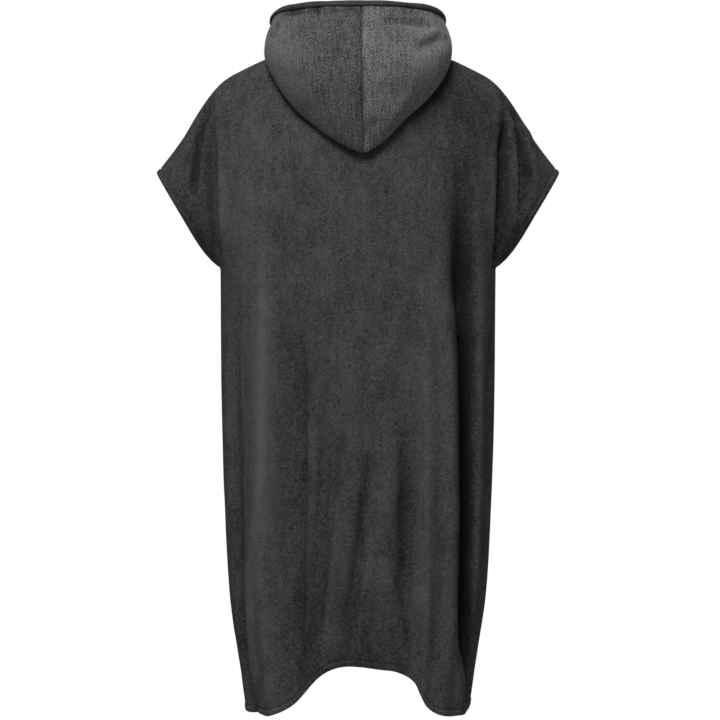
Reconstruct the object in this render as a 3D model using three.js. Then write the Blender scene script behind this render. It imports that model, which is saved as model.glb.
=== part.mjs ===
// Hooded bath poncho, worn, with its hood down on the back.
// Millimetres, +Z up. The front faces -Y and the wearer's left is +X.
// The origin lies at the foot of the neck, level with the shoulders beside the hood.

import * as THREE from 'three';

// Cloth and seams
const PANEL_CLOTH = 2.6;
const HOOD_CLOTH = 2.6;
const PANEL_GAP = 1;
const HOOD_GAP = 0.7;
const CLOTH_ROUGHNESS = 0.95;

// Shoulders, sleeves and body
const SLEEVE_TIP_X = 355;
const NECK_COLUMN = 0.25;
const NECK_X = SLEEVE_TIP_X * NECK_COLUMN;
const NECK_SIDE_Z = 26;
const UNDERARM_Z = -366;
const YOKE_SHARE = 0.32;
const CUFF_BULGE = 60;
const RING_SQUARENESS = 0.04;

// How the cloth leaves the shoulder line: columns past SLEEVE_COLUMN turn into sleeve,
// DROP_START delays its fall, and each panel's rollOut bends it over the shoulder
const SLEEVE_COLUMN = 0.62;
const DROP_START = 1.3;
const CUFF_STRAIGHTNESS = 0.86;
const CUFF_CURL = 10;
const CUFF_PEAK = 2 / (3 * Math.sqrt(3));

// Folds: how far they push sideways, where they fade, and the flat strip at the side seams
const FOLD_SIDEWAYS = 0.35;
const FOLD_FADE_IN = 0.35;
const FOLD_FADE_OUT = 0.8;
const SEAM_STRIP = 0.88;

// Grids: cells across and down each piece
const BACK_GRID = { across: 40, down: 34 };
const FRONT_GRID = { across: 32, down: 28 };
const HOOD_GRID = { across: 16, down: 20 };

// Hood
const HOOD_LIFT = 4;
const STAND_HEIGHT = 10;
const STAND_SPREAD = { x: 1.05, y: 1.12 };
const HEM_ROLL_HEIGHT = 10;
const HEM_ROLL_WIDTH = 7;
const HEM_ROLL_SIDES = 8;
const HEM_ROLL_STEPS = 2 * HOOD_GRID.across;

// Short step along a surface for its tangents
const TANGENT_STEP = 1e-3;

const COLOURS = { velour: 0x39393a, velourInside: 0x3d3d3e, heather: 0x575758, roll: 0x3a3a3b };

// Top line of the shoulder and upper sleeve, from the neck to the tip
const SHOULDER_LINE = [
  { x: 0, z: 34 },
  { x: NECK_X, z: NECK_SIDE_Z },
  { x: 161, z: 1 },
  { x: 202, z: -18 },
  { x: 234, z: -36 },
  { x: 256, z: -58 },
  { x: 280, z: -92 },
  { x: 310, z: -142 },
  { x: SLEEVE_TIP_X, z: -202 },
];

// Each panel: neck cut, reach away from the side seams, and its hem
const BACK = {
  side: 1,
  neckDepth: 58,
  neckDrop: 18,
  rollOut: 3,
  reach: [
    { w: 0, y: 140 },
    { w: 0.4, y: 146 },
    { w: 1, y: 152 },
  ],
  hem: [
    { u: -1, z: -1136 },
    { u: -0.82, z: -1144 },
    { u: -0.64, z: -1147 },
    { u: -0.52, z: -1146 },
    { u: -0.43, z: -1140 },
    { u: -0.36, z: -1126 },
    { u: -0.32, z: -1106 },
    { u: -0.28, z: -1083 },
    { u: -0.2, z: -1068 },
    { u: -0.12, z: -1064 },
    { u: 0.07, z: -1058 },
    { u: 0.18, z: -1072 },
    { u: 0.33, z: -1122 },
    { u: 0.48, z: -1142 },
    { u: 0.62, z: -1143 },
    { u: 0.82, z: -1148 },
    { u: 1, z: -1145 },
  ],
  folds: [
    { name: 'right edge ridge', u0: -0.36, v0: 0.22, u1: -0.49, v1: 1.02, width: 0.045, depth: 9 },
    { name: 'right edge foot', u0: -0.42, v0: 0.8, u1: -1.0, v1: 1.25, width: 0.06, depth: 8 },
    { name: 'right deep groove', u0: -0.5, v0: 0.2, u1: -0.62, v1: 0.96, width: 0.08, depth: -66 },
    { name: 'right groove foot', u0: -0.54, v0: 0.78, u1: -0.85, v1: 1.0, width: 0.06, depth: -50 },
    { name: 'right side recess', u0: -0.78, v0: 0.3, u1: -0.82, v1: 0.98, width: 0.09, depth: -12 },
    { name: 'left ridge', u0: 0.44, v0: 0.22, u1: 0.47, v1: 1.25, width: 0.06, depth: 14 },
    { name: 'left groove', u0: 0.63, v0: 0.3, u1: 0.74, v1: 1.2, width: 0.09, depth: -19 },
    { name: 'left trough', u0: 0.27, v0: 0.34, u1: 0.29, v1: 0.97, width: 0.06, depth: -15 },
    { name: 'drag line one', u0: 0.09, v0: 0.5, u1: 0.22, v1: 0.98, width: 0.035, depth: -12 },
    { name: 'drag line two', u0: -0.08, v0: 0.6, u1: 0.07, v1: 0.96, width: 0.04, depth: -9 },
    { name: 'drag line three', u0: -0.21, v0: 0.56, u1: -0.2, v1: 0.9, width: 0.04, depth: -8 },
    { name: 'right light ridge', u0: -0.3, v0: 0.25, u1: -0.31, v1: 1.25, width: 0.04, depth: 9 },
    { name: 'hem recess', u0: -0.06, v0: 0.84, u1: -0.05, v1: 1.3, width: 0.2, depth: -20 },
    { name: 'left lobe', u0: 0.5, v0: 0.8, u1: 0.5, v1: 1.3, width: 0.14, depth: 9 },
    { name: 'left armhole fold', u0: 0.725, v0: 0.06, u1: 0.88, v1: 0.335, width: 0.04, depth: -13 },
    { name: 'right armhole fold', u0: -0.735, v0: 0.06, u1: -0.87, v1: 0.335, width: 0.04, depth: -26 },
    { name: 'left sleeve trough', u0: 0.77, v0: 0.01, u1: 0.9, v1: 0.14, width: 0.03, depth: -9 },
    { name: 'right sleeve trough', u0: -0.8, v0: 0.02, u1: -0.96, v1: 0.2, width: 0.03, depth: -13 },
  ],
};

const FRONT = {
  side: -1,
  neckDepth: 78,
  neckDrop: 88,
  rollOut: 3,
  reach: [
    { w: 0, y: 142 },
    { w: 0.35, y: 150 },
    { w: 1, y: 148 },
  ],
  hem: [
    { u: -1, z: -1136 },
    { u: -0.75, z: -1145 },
    { u: -0.5, z: -1128 },
    { u: -0.28, z: -1078 },
    { u: 0, z: -1060 },
    { u: 0.26, z: -1077 },
    { u: 0.48, z: -1126 },
    { u: 0.74, z: -1145 },
    { u: 1, z: -1145 },
  ],
  folds: [
    { name: 'left chest fold', u0: 0.3, v0: 0.3, u1: 0.36, v1: 1.25, width: 0.06, depth: -17 },
    { name: 'left front ridge', u0: 0.5, v0: 0.28, u1: 0.5, v1: 1.25, width: 0.07, depth: 14 },
    { name: 'left side groove', u0: 0.66, v0: 0.4, u1: 0.7, v1: 1.25, width: 0.07, depth: -26 },
    { name: 'centre fold', u0: 0.02, v0: 0.4, u1: -0.05, v1: 1.25, width: 0.06, depth: -12 },
    { name: 'right chest fold', u0: -0.26, v0: 0.3, u1: -0.34, v1: 1.25, width: 0.06, depth: -15 },
    { name: 'right front ridge', u0: -0.46, v0: 0.28, u1: -0.5, v1: 1.25, width: 0.07, depth: 13 },
    { name: 'right side groove', u0: -0.64, v0: 0.38, u1: -0.7, v1: 1.25, width: 0.07, depth: -28 },
    { name: 'left armhole fold', u0: 0.755, v0: 0.06, u1: 0.78, v1: 0.34, width: 0.05, depth: -22 },
    { name: 'right armhole fold', u0: -0.75, v0: 0.06, u1: -0.77, v1: 0.34, width: 0.05, depth: -22 },
  ],
};

// Half-width of the body from the underarm (w 0) to the hem (w 1)
const BODY_WIDTH = [
  { w: 0, x: 242 },
  { w: 0.3, x: 240 },
  { w: 0.52, x: 235 },
  { w: 0.75, x: 225 },
  { w: 0.88, x: 210 },
  { w: 1, x: 196.5 },
];

// Left half of the hood, one row for each line from the neck seam to the face opening.
// The angle runs round the neck from centre front to centre back.
const HOOD_LINES = [
  { angle: 0, under: [0, -88, -46], fold: [0, -93, -41], outer: [0, -97, -36], edge: [0, -98, -28] },
  { angle: 30, under: [56, -84, -29], fold: [64, -94, -33], outer: [71, -98, -19], edge: [67, -96, -3] },
  { angle: 60, under: [97, -51, 9], fold: [114, -57, -7], outer: [126, -59, 13], edge: [118, -62, 38] },
  { angle: 90, under: [124, 4, 26], fold: [159, 14, 9], outer: [160, 16, 31], edge: [151, 4, 59] },
  { angle: 120, under: [111, 62, -6], fold: [142, 80, -49], outer: [153, 94, 5], edge: [137, 62, 74] },
  { angle: 150, under: [70, 101, -36], fold: [87, 127, -118], outer: [96, 162, -32], edge: [83, 113, 78] },
  { angle: 180, under: [0, 120, -56], fold: [0, 148, -170], outer: [0, 186, -48], edge: [0, 130, 78] },
];

function smoothStep(low, high, value) {
  const share = THREE.MathUtils.clamp((value - low) / (high - low), 0, 1);
  return share * share * (3 - 2 * share);
}

// A smooth value between the rows of a table
function readTable(table, keyName, valueName, key) {
  const last = table.length - 1;
  let row = 1;
  while (row < last && key > table[row][keyName]) {
    row += 1;
  }
  const slopeAt = (index) => {
    const before = table[Math.max(index - 1, 0)];
    const after = table[Math.min(index + 1, last)];
    return (after[valueName] - before[valueName]) / (after[keyName] - before[keyName]);
  };
  const start = table[row - 1];
  const end = table[row];
  const span = end[keyName] - start[keyName];
  const s = (key - start[keyName]) / span;
  const rise = end[valueName] - start[valueName];
  const startPull = slopeAt(row - 1) * span - rise;
  const endPull = rise - slopeAt(row) * span;
  return start[valueName] + rise * s + s * (1 - s) * ((1 - s) * startPull + s * endPull);
}

// Point of the body's cross-section: u is 0 at the centre and 1 or -1 at the side seams
function ringPoint(u, halfWidth, reach) {
  const turn = u * Math.PI / 2;
  const x = Math.sin(turn) + RING_SQUARENESS * Math.sin(3 * turn);
  const y = Math.cos(turn) - RING_SQUARENESS * Math.cos(3 * turn);
  const share = 1 / (1 - RING_SQUARENESS);
  return { x: halfWidth * x * share, y: reach * y * share };
}

// Point of a panel's top line: the neck cut, then the shoulder and upper sleeve seam
function topPoint(panel, u) {
  const x = SLEEVE_TIP_X * u;
  const inNeck = 1 - (x / NECK_X) ** 2;
  if (inNeck <= 0) {
    return { x, y: 0, z: readTable(SHOULDER_LINE, 'x', 'z', Math.abs(x)) };
  }
  return { x, y: panel.neckDepth * Math.sqrt(inNeck), z: NECK_SIDE_Z - panel.neckDrop * inNeck };
}

// How far the folds move the cloth out (or in, below 0) at one place
function foldDepth(panel, u, v) {
  let depth = 0;
  for (const fold of panel.folds) {
    const along = (v - fold.v0) / (fold.v1 - fold.v0);
    const centre = fold.u0 + (fold.u1 - fold.u0) * along;
    const across = (u - centre) / fold.width;
    const fade = smoothStep(0, FOLD_FADE_IN, along) * (1 - smoothStep(FOLD_FADE_OUT, 1, along));
    depth += fold.depth * fade * Math.exp(-across * across);
  }
  return depth;
}

// Middle surface of a panel: u runs from the right cuff or side seam (-1) to the left (1),
// and v from the shoulder and neck (0) past the underarm (YOKE_SHARE) to the hem (1)
function panelPoint(panel, u, v) {
  const inYoke = Math.min(v / YOKE_SHARE, 1);
  const w = Math.max((v - YOKE_SHARE) / (1 - YOKE_SHARE), 0);
  const ring = ringPoint(u, readTable(BODY_WIDTH, 'w', 'x', w), readTable(panel.reach, 'w', 'y', w));
  const top = topPoint(panel, u);
  const sleeve = smoothStep(SLEEVE_COLUMN, 1, Math.abs(u));
  const cuff = CUFF_STRAIGHTNESS * inYoke + (1 - CUFF_STRAIGHTNESS) * inYoke ** CUFF_CURL;
  const toRing = THREE.MathUtils.lerp(smoothStep(0, 1, inYoke), cuff, sleeve);
  const outward = 1 - (1 - inYoke) ** panel.rollOut;
  const downward = THREE.MathUtils.lerp(inYoke ** DROP_START, inYoke, sleeve);
  const bulge = CUFF_BULGE * sleeve * Math.sqrt(inYoke) * (1 - inYoke) / CUFF_PEAK;
  const hemZ = readTable(panel.hem, 'u', 'z', u);
  const z = v < YOKE_SHARE
    ? THREE.MathUtils.lerp(top.z, UNDERARM_Z, downward)
    : THREE.MathUtils.lerp(UNDERARM_Z, hemZ, w);
  const seamFade = 1 - smoothStep(SEAM_STRIP, 1, Math.abs(u));
  const fold = foldDepth(panel, u, v) * seamFade;
  const turn = u * Math.PI / 2;
  const foldX = FOLD_SIDEWAYS * Math.sin(turn);
  const foldY = Math.cos(turn);
  const foldLength = Math.hypot(foldX, foldY);
  const x = THREE.MathUtils.lerp(top.x, ring.x, toRing) + fold * foldX / foldLength;
  const y = THREE.MathUtils.lerp(top.y, ring.y, outward) + bulge + fold * foldY / foldLength;
  return new THREE.Vector3(x, panel.side * (y + PANEL_GAP / 2), z);
}

// Foot of the hood, just above the panels' neck edge
function neckPoint(angle) {
  const turn = THREE.MathUtils.degToRad(angle);
  const panel = angle > 90 ? BACK : FRONT;
  const x = (NECK_X + PANEL_CLOTH / 2) * Math.sin(turn);
  const y = -(panel.neckDepth + PANEL_CLOTH / 2) * Math.cos(turn);
  const z = NECK_SIDE_Z - panel.neckDrop * Math.cos(turn) ** 2 + HOOD_LIFT;
  return [x, y, z];
}

// The stand just above it, from which the hood rolls over
function standPoint(angle) {
  const [x, y, z] = neckPoint(angle);
  return [x * STAND_SPREAD.x, y * STAND_SPREAD.y, z + STAND_HEIGHT];
}

const HOOD_GUIDES = HOOD_LINES.map((line) => [
  neckPoint(line.angle),
  standPoint(line.angle),
  line.under,
  line.fold,
  line.outer,
  line.edge,
]);

// Catmull-Rom value between b and c
function throughPoints(a, b, c, d, s) {
  const startSlope = (c - a) / 2;
  const endSlope = (d - b) / 2;
  const pull = (1 - s) * (startSlope - (c - b)) + s * ((c - b) - endSlope);
  return b + (c - b) * s + s * (1 - s) * pull;
}

// One coordinate of one guide line, with the far half mirrored past the two centre seams
function guideValue(line, guide, axis) {
  const last = HOOD_GUIDES.length - 1;
  const mirrored = line < 0 || line > last;
  const inside = line < 0 ? -line : line > last ? 2 * last - line : line;
  const value = HOOD_GUIDES[inside][guide][axis];
  return mirrored && axis === 0 ? -value : value;
}

// Middle surface of the left hood half: a runs from centre front (0) to centre back (1),
// and t from the neck seam (0) over the fold to the face opening (1)
function hoodPoint(a, t) {
  const lines = HOOD_GUIDES.length - 1;
  const line = THREE.MathUtils.clamp(Math.floor(a * lines), 0, lines - 1);
  const guides = HOOD_GUIDES[0].length - 1;
  const guide = THREE.MathUtils.clamp(Math.floor(t * guides), 0, guides - 1);
  const alongLine = a * lines - line;
  const alongGuide = t * guides - guide;
  const coordinates = [0, 1, 2].map((axis) => {
    const acrossLines = (index) => throughPoints(
      guideValue(line - 1, index, axis),
      guideValue(line, index, axis),
      guideValue(line + 1, index, axis),
      guideValue(line + 2, index, axis),
      alongLine,
    );
    return throughPoints(
      acrossLines(Math.max(guide - 1, 0)),
      acrossLines(guide),
      acrossLines(guide + 1),
      acrossLines(Math.min(guide + 2, guides)),
      alongGuide,
    );
  });
  return new THREE.Vector3(...coordinates);
}

// Unit normal of a surface at one place, from short steps that stay on the surface
function normalAt(surface, range, p, q) {
  const pAfter = Math.min(p + TANGENT_STEP, range.to);
  const pBefore = Math.max(p - TANGENT_STEP, range.from);
  const qAfter = Math.min(q + TANGENT_STEP, 1);
  const qBefore = Math.max(q - TANGENT_STEP, 0);
  const alongP = surface(pAfter, q).sub(surface(pBefore, q));
  const alongQ = surface(p, qAfter).sub(surface(p, qBefore));
  return alongP.cross(alongQ).normalize();
}

// Closed geometry from rows of points that share one length, wound outwards where `outside` is first
function closeShell(outside, inside) {
  const down = outside.length - 1;
  const across = outside[0].length - 1;
  const perRow = across + 1;
  const layer = perRow * (down + 1);
  const positions = [...outside.flat(), ...inside.flat()].flatMap((point) => point.toArray());
  const indices = [];
  const quad = (a, b, c, d) => indices.push(a, b, c, a, c, d);
  const at = (row, column, side) => side * layer + row * perRow + column;
  for (let row = 0; row < down; row += 1) {
    for (let column = 0; column < across; column += 1) {
      quad(at(row, column, 0), at(row, column + 1, 0), at(row + 1, column + 1, 0), at(row + 1, column, 0));
      quad(at(row, column, 1), at(row + 1, column, 1), at(row + 1, column + 1, 1), at(row, column + 1, 1));
    }
  }
  for (let column = 0; column < across; column += 1) {
    quad(at(0, column, 1), at(0, column + 1, 1), at(0, column + 1, 0), at(0, column, 0));
    quad(at(down, column, 0), at(down, column + 1, 0), at(down, column + 1, 1), at(down, column, 1));
  }
  for (let row = 0; row < down; row += 1) {
    quad(at(row, 0, 0), at(row + 1, 0, 0), at(row + 1, 0, 1), at(row, 0, 1));
    quad(at(row, across, 1), at(row + 1, across, 1), at(row + 1, across, 0), at(row, across, 0));
  }
  const geometry = new THREE.BufferGeometry();
  geometry.setAttribute('position', new THREE.Float32BufferAttribute(positions, 3));
  geometry.setIndex(indices);
  geometry.computeVertexNormals();
  return geometry;
}

// A cloth wall of even thickness on both sides of a middle surface
function clothWall(surface, grid, range, thickness, outwardSign) {
  const outside = [];
  const inside = [];
  for (let row = 0; row <= grid.down; row += 1) {
    const q = row / grid.down;
    const outsideRow = [];
    const insideRow = [];
    for (let column = 0; column <= grid.across; column += 1) {
      const p = THREE.MathUtils.lerp(range.from, range.to, column / grid.across);
      const offset = normalAt(surface, range, p, q).multiplyScalar(outwardSign * thickness / 2);
      const middle = surface(p, q);
      outsideRow.push(middle.clone().add(offset));
      insideRow.push(middle.sub(offset));
    }
    outside.push(outsideRow);
    inside.push(insideRow);
  }
  return outwardSign > 0 ? closeShell(outside, inside) : closeShell(inside, outside);
}

function namedMesh(name, geometry, colour) {
  const finish = { color: colour, roughness: CLOTH_ROUGHNESS, metalness: 0 };
  const material = new THREE.MeshStandardMaterial(finish);
  const mesh = new THREE.Mesh(geometry, material);
  mesh.name = name;
  return mesh;
}

function panelMesh(name, panel, grid, colour) {
  const surface = (u, v) => panelPoint(panel, u, v);
  const geometry = clothWall(surface, grid, { from: -1, to: 1 }, PANEL_CLOTH, -panel.side);
  return namedMesh(name, geometry, colour);
}

function hoodMesh(name, side) {
  const surface = (a, t) => {
    const point = hoodPoint(a, t);
    return new THREE.Vector3(side * (point.x + HOOD_GAP / 2), point.y, point.z);
  };
  const geometry = clothWall(surface, HOOD_GRID, { from: 0, to: 1 }, HOOD_CLOTH, side);
  return namedMesh(name, geometry, COLOURS.heather);
}

// The rolled hem stands on the face edge of both hood halves, open at centre front
function hemRollMesh() {
  const rings = [];
  for (let step = 0; step <= HEM_ROLL_STEPS; step += 1) {
    const round = step / HEM_ROLL_STEPS * 2 - 1;
    const side = Math.sign(round) || 1;
    const a = 1 - Math.abs(round);
    const edge = hoodPoint(a, 1);
    const up = edge.clone().sub(hoodPoint(a, 1 - TANGENT_STEP)).normalize();
    const after = hoodPoint(Math.min(a + TANGENT_STEP, 1), 1);
    const before = hoodPoint(Math.max(a - TANGENT_STEP, 0), 1);
    const along = after.sub(before).normalize();
    const across = along.clone().cross(up).normalize();
    const centre = edge.addScaledVector(up, HEM_ROLL_HEIGHT / 2 + HOOD_GAP);
    const ring = [];
    for (let corner = 0; corner < HEM_ROLL_SIDES; corner += 1) {
      const turn = (corner + 0.5) / HEM_ROLL_SIDES * 2 * Math.PI;
      const point = centre.clone();
      point.addScaledVector(up, Math.sin(turn) * HEM_ROLL_HEIGHT / 2);
      point.addScaledVector(across, Math.cos(turn) * HEM_ROLL_WIDTH / 2);
      point.x = side * (point.x + HOOD_GAP / 2);
      ring.push(point);
    }
    rings.push(ring);
  }
  const positions = rings.flat().flatMap((point) => point.toArray());
  const indices = [];
  for (let step = 0; step < HEM_ROLL_STEPS; step += 1) {
    for (let corner = 0; corner < HEM_ROLL_SIDES; corner += 1) {
      const next = (corner + 1) % HEM_ROLL_SIDES;
      const here = step * HEM_ROLL_SIDES;
      const there = here + HEM_ROLL_SIDES;
      indices.push(here + corner, here + next, there + next, here + corner, there + next, there + corner);
    }
  }
  const lastRing = HEM_ROLL_STEPS * HEM_ROLL_SIDES;
  for (let corner = 1; corner < HEM_ROLL_SIDES - 1; corner += 1) {
    indices.push(0, corner + 1, corner);
    indices.push(lastRing, lastRing + corner, lastRing + corner + 1);
  }
  const geometry = new THREE.BufferGeometry();
  geometry.setAttribute('position', new THREE.Float32BufferAttribute(positions, 3));
  geometry.setIndex(indices);
  geometry.computeVertexNormals();
  return namedMesh('hood_hem', geometry, COLOURS.roll);
}

const poncho = new THREE.Group();
poncho.add(panelMesh('back_panel', BACK, BACK_GRID, COLOURS.velour));
poncho.add(panelMesh('front_panel', FRONT, FRONT_GRID, COLOURS.velourInside));
poncho.add(hoodMesh('hood_left', 1));
poncho.add(hoodMesh('hood_right', -1));
poncho.add(hemRollMesh());

export default poncho;
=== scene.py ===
import math
import random
from collections import namedtuple

import bpy
import numpy as np
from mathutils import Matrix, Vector


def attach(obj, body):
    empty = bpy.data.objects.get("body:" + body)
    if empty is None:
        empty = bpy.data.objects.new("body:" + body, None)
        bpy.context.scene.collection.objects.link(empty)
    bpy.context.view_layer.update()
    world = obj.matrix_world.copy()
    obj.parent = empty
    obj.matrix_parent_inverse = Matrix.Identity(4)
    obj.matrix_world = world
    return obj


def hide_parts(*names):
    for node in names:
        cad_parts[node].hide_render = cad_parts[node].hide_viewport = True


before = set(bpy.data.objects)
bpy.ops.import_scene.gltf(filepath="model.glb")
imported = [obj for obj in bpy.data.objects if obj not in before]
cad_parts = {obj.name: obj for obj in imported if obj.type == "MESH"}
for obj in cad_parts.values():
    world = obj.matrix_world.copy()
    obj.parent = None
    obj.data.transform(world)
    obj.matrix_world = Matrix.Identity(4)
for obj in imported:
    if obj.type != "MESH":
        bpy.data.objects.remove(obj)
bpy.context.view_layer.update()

# The garment is worked out in millimetres, front towards -Y, origin at the foot of the neck
MM = 0.001
SEED = 7

# Cloth and seams
PANEL_CLOTH = 2.6
HOOD_CLOTH = 2.6
SEAM_OVERLAP = 0.5
EDGE_ROUND = 2.2
EDGE_LEAST = 0.12

# Soft unevenness of the cloth: seeded waves, their shortest and longest, and their depths
SOFT_WAVES = 26
SHORTEST_WAVE = 40.0
LONGEST_WAVE = 160.0
PANEL_SOFTNESS = 1.1
HOOD_SOFTNESS = 1.0

# Creases fade at their ends, as shares of their length, and near the panel's seams, in millimetres
CREASE_FADE_IN = (-0.04, 0.22)
CREASE_FADE_OUT = (0.78, 1.04)
CREASE_FROM_SIDE = 30.0
CREASE_FROM_TOP = 24.0

# Painted light and shade of the pile, with crests painted lighter and troughs darker: the depths that count
# as one step of it, and its limits
FOLD_SHADE_STEP = 15.0
FOLD_SHADE_LIMITS = (-1.3, 1.1)
CREASE_SHADE_STEP = 7.0
CREASE_SHADE_LIMITS = (-2.0, 1.0)
HOOD_SHADE_LIMITS = (-1.2, 1.0)
PAINTED_SHADE_FROM_SIDE = 40.0
# Painted shade on the sleeves: how much darker, and across which x it sets in
SLEEVE_PAINTED_SHADE = 0.75
SLEEVE_PAINTED_SHADE_X = (238.0, 262.0)

# Turned hems: depth of the turn, what it adds to the cloth, and the sunk stitch row
HEM_DEPTH = 11.0
HEM_EXTRA = 1.4
STITCH_LENGTH = 3.2
STITCH_PITCH = 4.4
STITCH_RADIUS = 0.45
STITCH_SUNK = 1.9
STITCH_VALLEY = 1.5
STITCH_SIDES = 6
STITCH_RISE = (0.9, 1.5)
HEM_STEP = (HEM_DEPTH - 1.0, HEM_DEPTH + 2.0)

# Shoulders, sleeves and body
SLEEVE_TIP_X = 355.0
NECK_COLUMN = 0.25
NECK_X = SLEEVE_TIP_X * NECK_COLUMN
NECK_SIDE_Z = 26.0
UNDERARM_Z = -366.0
YOKE_SHARE = 0.32
CUFF_BULGE = 60.0
RING_SQUARENESS = 0.04
SLEEVE_COLUMN = 0.62
DROP_START = 1.3
CUFF_STRAIGHTNESS = 0.86
CUFF_CURL = 10
CUFF_PEAK = 2 / (3 * math.sqrt(3))
FOLD_SIDEWAYS = 0.35
FOLD_FADE_IN = 0.35
FOLD_FADE_OUT = 0.8
SEAM_STRIP = 0.88

# Grids of the panels: spacing, and the closer rows and columns at their edges
BACK_SPACING = 6.0
FRONT_SPACING = 8.0
PANEL_LENGTH = 1180.0
PANEL_WIDTH = 900.0
UV_HALF_WIDTH = 420.0
TOP_ROWS = (0, 0.5, 1.3, 2.6)
HEM_ROWS = (16, 14, 13, 12, 11.3, 10.7, 10, 9, 7, 4.5, 2.4, 1.2, 0.5, 0)
ROWS_START = 5.0
ROWS_END = 20.0
CUFF_SHARE = 0.055
CUFF_COLUMNS = 14
CUFF_ROWS_LEFT_OUT = (6, 3)

# Hood
HOOD_LIFT = 3.6
STAND_HEIGHT = 10.0
STAND_SPREAD = (1.05, 1.12)
HOOD_COLUMNS = 110
HOOD_COLUMN_START = 0.015
HOOD_CLOSE_COLUMNS = (0, 0.0015, 0.004, 0.008)
HOOD_ROWS = 150
HOOD_ROW_START = 0.012
HOOD_CLOSE_ROWS = (0, 0.002, 0.005)

# The hood's centre seam leans to the right, its right fold is drawn in and its tip hangs
SEAM_LEAN = -10.0
SEAM_LEAN_REACH = 55.0
SEAM_LEAN_ROWS = (0.35, 0.62)
SEAM_LEAN_AT_EDGE = 0.6
SIDE_DRAW = 9.0
SIDE_DRAW_X = -92.0
SIDE_DRAW_REACH = 34.0
SIDE_DRAW_IN = (0.3, 0.5)
SIDE_DRAW_OUT = (0.64, 0.8)
TIP_DROP = 7.0
TIP_REACH = 14.0
TIP_ROW = 0.6
TIP_ROWS_REACH = 0.1

# Sewn centre seam: depth and width of its valley, and how dark the painted shade in it is
SEAM_SUNK = 2.6
SEAM_VALLEY = 2.8
SEAM_PAINTED_SHADE = 4.0

# Outer layer of the hood, as shares from neck to edge and from centre front to centre back
OUTER_ROWS = (0.5, 0.64)
OUTER_COLUMNS = (0.3, 0.45)

# Rolled hem of the face edge, and the pull on the cloth below it
ROLL_HEIGHT = 11.0
ROLL_WIDTH = 9.0
ROLL_SINK = 1.5
ROLL_OUT = 0.8
ROLL_SQUARENESS = 0.85
ROLL_SIDES = 20
ROLL_STEPS = 300
ROLL_WAVES = 9
ROLL_WAVE = (9, 40)
ROLL_UNEVENNESS = 0.035
ROLL_END = 7.0
ROLL_END_LEAST = 0.1
PULL_EVERYWHERE = 0.4
PULL_PLACE = 9.0
PULL_REACH = 7.0
PULL_COLUMNS = (0.3, 0.6)
# Painted shade in the drawn-in cloth below the roll
PULL_PAINTED_SHADE = 0.9

# Materials: tone is the mean reflectance, contrast its share either way, bump in metres; painted shading
# sets how far the painted light and shade move the colour
CLOTH_SHINE = 0.02
BODY_TONE = 0.0325
ROLL_TONE = 0.029
VELOUR_CONTRAST = 0.65
VELOUR_PAINTED_SHADING = 0.15
VELOUR_BUMP = 0.00022
# The hood halves are one heather in two copies: the right one painted lighter, the left darker, as painted
# light and shade
HEATHER_LEFT_TONE = 0.046
HEATHER_RIGHT_TONE = 0.070
HEATHER_CONTRAST = 0.8
HEATHER_PAINTED_SHADING = 0.14
HEATHER_BUMP = 0.0006
HEATHER_SHEEN = 0.12
THREAD_TONE = 0.02
THREAD_CONTRAST = 0.25
THREAD_BUMP = 0.0002
THREAD_SHEEN = 0.1

# Studio, in metres and watts
FLOOR_Z = -1.9
FLOOR_RADIUS = 2.0
FLOOR_TONE = 0.85
EVEN_LIGHT = 0.33
CAMERA_DISTANCE = 4.5
CAMERA_X = -0.0035
CAMERA_Z = -0.531
VIEW_WIDTH = 1.2744
SENSOR_WIDTH = 36

Panel = namedtuple("Panel", "side neck_depth neck_drop roll_out reach hem folds creases nap")
Fold = namedtuple("Fold", "u0 v0 u1 v1 width depth")
Crease = namedtuple("Crease", "x0 z0 x1 z1 bend width depth")
# Soft patches of painted light and shade on the cloth
Nap = namedtuple("Nap", "x z reach_x reach_z lightness")
Pucker = namedtuple("Pucker", "x reach depth")

# Rings of one stitch: share of its length, share of its radius
STITCH_RINGS = [(0.0, 0.35), (0.2, 0.95), (0.5, 1.0), (0.8, 0.95), (1.0, 0.35)]

# Top line of the shoulder and upper sleeve: x, z
SHOULDER_LINE = [
    (0, 34),
    (NECK_X, NECK_SIDE_Z),
    (161, 1),
    (202, -18),
    (234, -36),
    (256, -58),
    (280, -92),
    (310, -142),
    (SLEEVE_TIP_X, -202),
]

# Half-width of the body from the underarm (0) to the hem (1)
BODY_WIDTH = [(0, 242), (0.3, 240), (0.52, 235), (0.75, 225), (0.88, 210), (1, 196.5)]

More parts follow.
